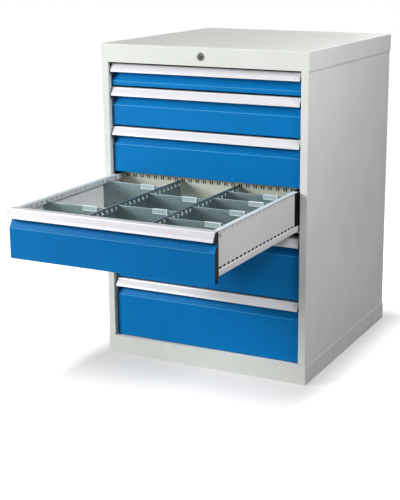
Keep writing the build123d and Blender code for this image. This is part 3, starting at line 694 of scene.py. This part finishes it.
def side_shade_trims(number):
    """Painted shade in dark plastic on the box's sides: pads in the lower slots where the runner
    channel is in shade, a shadow strip under the rim, and plates at the rear end where the box
    stands in shade.
    """
    foot = runner_space - pitches[number]
    skirt_top, band_top, skirt = foot + skirt_height, foot + skirt_band, box_half + skirt_step
    shade_pad_half, shadow_strip_top, rear_shade_reach = 7.6, rim_level - 1.7, box_half + 1.3
    shapes = [slab((box_half - 1.5, box_half + 0.12), (y - shade_pad_half, y + shade_pad_half),
                   (skirt_top - 6.0, skirt_top - 0.3)) for y in slot_places]
    strip = slab((box_half, box_half + 0.35), (box_front_depth + 1.5, box_rear_depth - 1.5),
                 (rim_level - 3.0, shadow_strip_top))
    rear_shade = slab((box_half, rear_shade_reach), (box_rear_depth - 71.0, rear_shade_end),
                  (band_top + skirt_step + 0.6, shadow_strip_top))
    low_rear_shade = slab((skirt, skirt + 0.7), (rear_shade_start, rear_shade_end),
                      (foot + 1.0, band_top - 0.4))
    rim_rear_shade = slab((rim_inner + 0.5, rear_shade_reach), (rear_shade_start, rear_shade_end),
                      (rim_level, rim_level + 0.8))
    shapes += [strip, rear_shade, low_rear_shade, rim_rear_shade]
    build_on_drawer(number, "side_shade_trims", both_sides(shapes), "guide_plastic", edge=0.15)


def slot_collars(number, label, faces, level, finish, **sizes):
    """Beads pressed up round the slots of upright sheets, whose faces stand at the given X."""
    places = [((x, y, level), unturned) for x in faces for y in slot_places]
    sizes = {name.replace("_", " "): size for name, size in sizes.items()}
    repeat("drawer_%d_%s_collars" % (number, label), collars, places, sizes, finish,
           "drawer_%d" % number, shift=datum(number))


def side_collars(number):
    """Beads round the slots under the rim, outside and inside."""
    # The inner beads take the brighter bead finish: painted highlight.
    for label, reach, bead, finish in (("outer", box_half, 1.25, "drawer_side"),
                                       ("inner", rim_inner, 1.6, "bead_highlight")):
        slot_collars(number, label, (reach, -reach), rim_level - slot_drop, finish,
                     Slot_Width=5.6, Slot_Height=8.0, Corner=2.0, Bead=bead)


def rim_highlight_strips(number):
    """Painted highlight: pale strips along the tops of the box's sides, where light falls on the
    rims.
    """
    strip = slab((rim_inner + 0.6, box_half - 0.4), (box_front_depth + 0.6, rear_shade_start - 0.4),
                 (rim_level - 0.1, rim_level + 0.2))
    build_on_drawer(number, "rim_highlight_strips", both_sides([strip]), "rim_strip", edge=0.1)


def rear_slot_shades(number):
    """Painted shade: dark pads in the pairs of slots in the rear wall, where the bay behind them is
    in shade.
    """
    pairs, first_pair, beside_pair, shade_pad_half = 24, -291.5, 3.75, 1.9
    depth = (box_rear_depth - 1.15, box_rear_depth - 0.2)
    height = (rim_level - 14.6, rim_level - 3.8)
    middles = [first_pair + slot_pitch * pair + side * beside_pair
               for pair in range(pairs) for side in (-1, 1)]
    shapes = [slab((x - shade_pad_half, x + shade_pad_half), depth, height) for x in middles]
    build_on_drawer(number, "rear_slot_shades", shapes, "guide_plastic", edge=0.0)


# Dividers of the open drawer

partition_places = (-100.0, 100.0)
partition_top = rim_level - 8.0
divider_top = rim_level - 10.0
divider_foot = runner_space + skirt_height + 1.2 - pitches[open_drawer]
divider_columns = ((-303.7, -100.8), (-99.2, 99.2), (100.8, 303.7))
divider_slots = ((5, 18), (7, 14), (4, 10, 15, 19))
divider_sheet, half_sheet = 1.0, 0.5
hem_bend, end_bend = 0.8, 1.2
wall_reach = box_half - 1.3
under_rim = rim_level - 16.3


def partition_sheets():
    """Long slotted sheets with a hem along the top."""
    slot_high, slot_low, slot_half = partition_top - 10.0, partition_top - 18.0, 2.5
    hem, hem_height, hem_top = 4.0, 2.0, partition_top - half_sheet
    ends = (box_front_depth + 2.2, box_rear_depth - 2.2)
    in_slot = [(y - slot_half, y + slot_half) for y in slot_places]
    stations = sorted([*ends] + [edge for edges in in_slot for edge in edges])

    def slotted(_, z, y):
        return slot_low < z < slot_high and any(low < y < high for low, high in in_slot)

    shapes = []
    for x in partition_places:
        line = rounded_line([(x, divider_foot), (x, slot_low), (x, slot_high), (x, hem_top),
                             (x + hem, hem_top), (x + hem, partition_top - hem_height)], hem_bend)
        shapes.append(sheet(line, "y", stations, slotted))
    build_on_drawer(open_drawer, "partition_sheets", shapes, "divider_sheet", "partitions",
                    sheet_thickness=divider_sheet)
    faces = [x + side for x in partition_places for side in (-half_sheet, half_sheet)]
    # Beads in the brighter bead finish: painted highlight.
    slot_collars(open_drawer, "partition", faces, (slot_low + slot_high) / 2, "bead_highlight",
                 Slot_Width=6.4, Slot_Height=8.4, Corner=2.2, Bead=1.5)


def divider_faces():
    """Left end, right end and middle depth of each cross divider."""
    return [(left, right, slot_places[slot])
            for (left, right), slots_used in zip(divider_columns, divider_slots)
            for slot in slots_used]


def cross_divider_sheets():
    """Dividers with flanges folded back at their ends and a hem along the top."""
    flange, hem, hem_depth, hem_height, hem_inset = 8.0, 5.0, 1.7, 4.0, 0.2
    shapes = []
    for left, right, y in divider_faces():
        wide_left = -wall_reach if left < 1.0 - rim_inner else left
        wide_right = wall_reach if right > rim_inner - 1.0 else right
        start, end = wide_left + half_sheet, wide_right - half_sheet
        low_line = rounded_line([(start, y + flange), (start, y), (end, y), (end, y + flange)],
                                end_bend)
        shapes.append(sheet(low_line, "z", (divider_foot, under_rim)))
        high_line = [(left + half_sheet, y), (right - half_sheet, y)]
        if wide_left == left:
            high_line.insert(0, (left + half_sheet, y + flange))
        if wide_right == right:
            high_line.append((right - half_sheet, y + flange))
        shapes.append(sheet(rounded_line(high_line, end_bend), "z", (under_rim, divider_top - hem)))
        hem_top, hem_back = divider_top - half_sheet, y + hem_depth
        hem_line = rounded_line([(y, divider_top - hem), (y, hem_top), (hem_back, hem_top),
                                 (hem_back, divider_top - hem_height)], hem_bend)
        shapes.append(sheet(hem_line, "x", (left + hem_inset, right - hem_inset)))
    build_on_drawer(open_drawer, "divider_sheets", shapes, "divider_sheet", "cross_dividers",
                    sheet_thickness=divider_sheet)


def label_clips():
    """Clips over the dividers, each with a framed pocket and end ribs, and a card in the pocket."""
    width, height, inset, above = 47.0, 15.0, 32.0, 1.35
    wall, hook, lip, soft = 1.2, 7.0, 1.0, 0.5
    post, bar, end_rib, rib_proud, rib_drop, margin = 1.6, 1.8, 3.4, 0.6, 1.5, 0.3
    top = divider_top + above
    foot, pocket_top, frame_top = top - height, top - 2.2, top - 0.8
    clips, cards = [], []
    for _, right, y in divider_faces():
        x0, x1 = right - inset - width, right - inset
        front, back = y - 0.65, y + 2.9
        section = [(front - wall, foot), (front, foot), (front, top - wall), (back, top - wall),
                   (back, top - hook), (back + lip, top - hook), (back + lip, top - soft),
                   (back + lip - soft, top), (front - wall + soft, top), (front - wall, top - soft)]
        clips.append(prism(section, "x", x0, x1))
        frame_front, frame_back = front - 2.0, front - 1.0
        for z in ((foot, foot + bar), (pocket_top, frame_top)):
            clips.append(slab((x0, x1), (frame_front, frame_back), z))
        clips.append(slab((x0, x0 + post), (frame_front, frame_back), (foot, frame_top)))
        clips.append(slab((x1 - end_rib, x1), (frame_front - rib_proud, frame_back),
                          (foot - rib_drop, frame_top)))
        cards.append(slab((x0 + post + margin, x1 - end_rib - margin), (front - 1.6, front - 1.25),
                          (foot + bar + margin, pocket_top - margin)))
    build_on_drawer(open_drawer, "label_clips", clips, "label_holder", "label_holders", edge=0.25)
    build_on_drawer(open_drawer, "label_cards", cards, "label_card", edge=0.08)


# Lock and screws on the casing

def lock_face():
    """Stepped ring round the lock, and the cylinder's face with a key slot and a turned groove."""
    low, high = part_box("lock_rosette")
    height, face = (low.z + high.z) / 2 / MM, high.y / MM
    ring = [(9.15, 0.0), (12.5, 0.0), (12.5, -0.8), (12.1, -1.2), (11.6, -1.3), (11.2, -1.9),
            (10.8, -2.35), (10.3, -2.5), (9.7, -2.4), (9.15, -1.9)]
    build("lock_ring", [turned([(r, face + y) for r, y in ring], height)], "lock_nickel", "casing",
          ["lock_rosette"], edge=0.0)
    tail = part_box("lock_cylinder")[1].y / MM - face
    plug = [(0.0, tail), (9.0, tail), (9.0, -1.3), (8.6, -1.7), (7.6, -1.7), (7.4, -1.4),
            (7.0, -1.4), (6.8, -1.9), (3.4, -1.9), (2.2, -1.6), (0.0, -1.6)]
    form = form_of([turned([(r, face + y) for r, y in plug], height)], merged=0.001)
    bmesh.ops.dissolve_degenerate(form, edges=form.edges, dist=0.001 * MM)
    mesh = mesh_of("lock_plug", form)
    mesh.materials.append(finishes["lock_dark"])
    slot_half, slot_reach, slot_depth, clear = 1.1, 4.5, 8.0, 3.0
    key = slab((-slot_half, slot_half), (face - clear, face + slot_depth),
               (height - slot_reach, height + slot_reach))
    cutter = put("key_slot", mesh_of("key_slot", form_of([key])))
    piece = put("lock_plug", mesh)
    taken = piece.modifiers.new("key_slot", "BOOLEAN")
    taken.operation, taken.object, taken.solver = "DIFFERENCE", cutter, "EXACT"
    settle(piece)
    piece.data.set_sharp_from_angle(angle=radians(35.0))
    bpy.data.objects.remove(cutter)
    dress(piece, "lock_cylinder", ["lock_cylinder"])


def screw_sets():
    """Screws of the rear panel and of the runners."""
    rear_face, rear_side, rear_heights, next_turn = 365.0, 340.8, (110.0, 375.0, 640.0, 905.0), 0.3
    places = [((side * rear_side, rear_face, z), (-pi / 2, next_turn * i, 0.0))
              for side in (-1, 1) for i, z in enumerate(rear_heights)]
    repeat("rear_screws", screws, places,
           {"Head Radius": 4.0, "Head Height": 1.2, "Shank Radius": 2.0, "Shank Length": 8.0},
           "screw_zinc", "casing", ["rear_panel_screws"])
    seat, runner_depths, above_foot = 335.4, (-301.0, 277.0), 27.0
    feet = [datum(number)[2] / MM - pitch for number, pitch in pitches.items()]
    places = [((side * seat, y, foot + above_foot), (0.0, -side * pi / 2, 0.0))
              for foot in feet for y in runner_depths for side in (-1, 1)]
    repeat("runner_mounting_screws", screws, places,
           {"Head Radius": 4.5, "Head Height": 2.5, "Shank Radius": 2.5, "Shank Length": 4.2},
           "screw_zinc", "casing", ["runner_screws"])


def cap_seam_shadows():
    """Painted shadow lines: thin grey strips where the cap ends on the casing's sides."""
    low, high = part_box("side_panel_right")
    reach, level = high.x / MM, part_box("drawer_1_handle")[1].z / MM
    sunk, proud, margin, half = 0.2, 0.05, 1.0, 0.5
    line = slab((reach - sunk, reach + proud), (low.y / MM + margin, high.y / MM - margin),
                (level - half, level + half))
    build("cap_seam_shadows", both_sides([line]), "seam_shade", "casing", edge=0.0)


def fascia_gap_shadow():
    """Painted shade: a dark strip along the foot of the fascia, down to just above the top handle,
    where the gap is in shadow.
    """
    front, handle_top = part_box("top_cap")[0].y / MM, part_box("drawer_1_handle")[1].z / MM
    half, behind = opening_half - 1.0, (front + 1.0, front + 2.6)
    strip = slab((-half, half), behind, (handle_top + shadow_strip_clearance, handle_top + fascia_gap))
    build("fascia_gap_shadow", [strip], "guide_plastic", "casing", edge=0.1)


for number in pitches:
    for make in (handle_rail, front_panel, end_caps, side_shade_trims,
                 side_collars, rim_highlight_strips, rear_slot_shades):
        make(number)
for make in (partition_sheets, cross_divider_sheets, label_clips,
             lock_face, screw_sets, cap_seam_shadows, fascia_gap_shadow):
    make()


# Surroundings. A fade stretches the floor's distance from the plinth on its side; over that
# distance the floor's painted shadow near the plinth fades out.

plinth_half_width, plinth_half_depth = 0.3525, 0.368
floor_reach = 14.0
floor_tone = (0.36, 0.36, 0.36, 1.0)
# Painted shade on the floor: the tone the eye sees is darker close to the plinth, and the glow for
# the eye is low near the plinth and full far from it.
floor_seen_tones, painted_shade_reach = (0.43, 0.75), 0.6
floor_glow, floor_near, floor_far = (0.3, 1.0), -0.05, 0.38
left_fade, right_and_back_fade, front_fade = 2.76, 2.15, 0.6

# Camera, from the casing's seven visible corners
frame_width, frame_height = 400, 500
principal_x, principal_y = 235.0, 225.0
focal_pixels, sensor = 1137.8, 36.0
camera_place = (1.5888, -3.4107, 1.3189)
camera_azimuth, camera_elevation, camera_roll = 25.87, 13.88, -0.11


def floor():
    """Pale floor that keeps the shadows, with painted shade that darkens it near the plinth, and
    runs out to white for the eye.
    """
    mesh = bpy.data.meshes.new("floor")
    rim = [(x * floor_reach, y * floor_reach, 0) for x, y in ((-1, -1), (1, -1), (1, 1), (-1, 1))]
    mesh.from_pydata(rim, [], [(0, 1, 2, 3)])
    material = bpy.data.materials.new("pale_floor")
    mesh.materials.append(material)
    tree = empty_tree(material)
    eye = seen_by_eye(tree)
    place = split(tree, add(tree, "ShaderNodeTexCoord").outputs["Object"])

    def past(axis, edge, fade):
        return math(tree, "MULTIPLY", math(tree, "SUBTRACT", place[axis], edge), fade)

    def beyond(axis, edge):
        return math(tree, "SUBTRACT", math(tree, "ABSOLUTE", place[axis]), edge)

    def distance(*ways):
        across, along = [math(tree, "MAXIMUM", way, 0.0) for way in ways]
        corner = joined(tree, X=across, Y=along)
        return add(tree, "ShaderNodeVectorMath", {0: corner}, operation="LENGTH").outputs["Value"]

    # Painted shadow: the glow for the eye is low near the plinth and rises with this stretched
    # distance.
    painted_shadow_distance = distance(math(tree, "MAXIMUM", past("X", -plinth_half_width, -left_fade),
                          past("X", plinth_half_width, right_and_back_fade)),
                     math(tree, "MAXIMUM", past("Y", -plinth_half_depth, -front_fade),
                          past("Y", plinth_half_depth, right_and_back_fade)))
    # Painted shade: the tone the eye sees darkens close to the plinth.
    painted_shade_distance = distance(beyond("X", plinth_half_width), beyond("Y", plinth_half_depth))
    seen_tone_with_painted_shade = ramp(tree, painted_shade_distance, 0.0, painted_shade_reach, *floor_seen_tones)
    tone = mix_colour(tree, eye, floor_tone, seen_tone_with_painted_shade)
    matt = add(tree, "ShaderNodeBsdfDiffuse", {"Color": tone})
    glow = math(tree, "MULTIPLY", eye, ramp(tree, painted_shadow_distance, floor_near, floor_far, *floor_glow))
    glow = add(tree, "ShaderNodeEmission", {"Color": (1, 1, 1, 1), "Strength": glow})
    both = add(tree, "ShaderNodeAddShader", {0: matt.outputs[0], 1: glow.outputs[0]})
    add(tree, "ShaderNodeOutputMaterial", {"Surface": both.outputs[0]})
    put("floor", mesh)


def surroundings():
    """World that is white for the eye and in reflections, and gives no light of its own."""
    world = bpy.context.scene.world = bpy.data.worlds.new("studio")
    tree = empty_tree(world)
    back = add(tree, "ShaderNodeBackground", {"Color": (1, 1, 1, 1), "Strength": seen_by_eye(tree)})
    add(tree, "ShaderNodeOutputWorld", {"Surface": back.outputs[0]})


def softbox(name, place, target, width, height, power, colour=(1.0, 1.0, 1.0)):
    """Rectangular lamp that looks at its target."""
    lamp = bpy.data.lights.new(name, "AREA")
    lamp.shape = "RECTANGLE"
    lamp.size, lamp.size_y, lamp.energy, lamp.color = width, height, power, colour
    holder = put(name, lamp)
    holder.location = place
    holder.rotation_euler = (Vector(target) - Vector(place)).to_track_quat("-Z", "Y").to_euler()


def camera():
    """Camera at the photograph's view: where it stands, how it is turned, and its lens."""
    data = bpy.data.cameras.new("camera")
    data.sensor_width = sensor
    data.lens = focal_pixels / frame_height * sensor
    data.shift_x = (frame_width / 2 - principal_x) / frame_height
    data.shift_y = (principal_y - frame_height / 2) / frame_height
    data.clip_end = 100.0
    turn, dip = radians(camera_azimuth), radians(camera_elevation)
    back = Vector((sin(turn) * cos(dip), -cos(turn) * cos(dip), sin(dip)))
    roll = Matrix.Rotation(radians(camera_roll), 3, "Z")
    eye = bpy.context.scene.camera = put("camera", data)
    upright = back.to_track_quat("Z", "Y").to_matrix()
    eye.matrix_world = Matrix.Translation(camera_place) @ (upright @ roll).to_4x4()


floor()
surroundings()
softbox("left_softbox", (-2.8, -2.85, 1.85), (0.0, -0.3, 0.5), width=1.6, height=1.3, power=164.0)
softbox("right_softbox", (1.6, -0.98, 2.0), (0.35, -0.15, 0.8), width=0.85, height=0.7, power=31.0,
        colour=(0.97, 0.96, 1.0))
softbox("rear_softbox", (0.3, 2.0, 1.95), (0.2, 0.3, 1.0), width=1.2, height=0.8, power=28.0)
camera()
bpy.context.scene.view_settings.view_transform = "Standard"
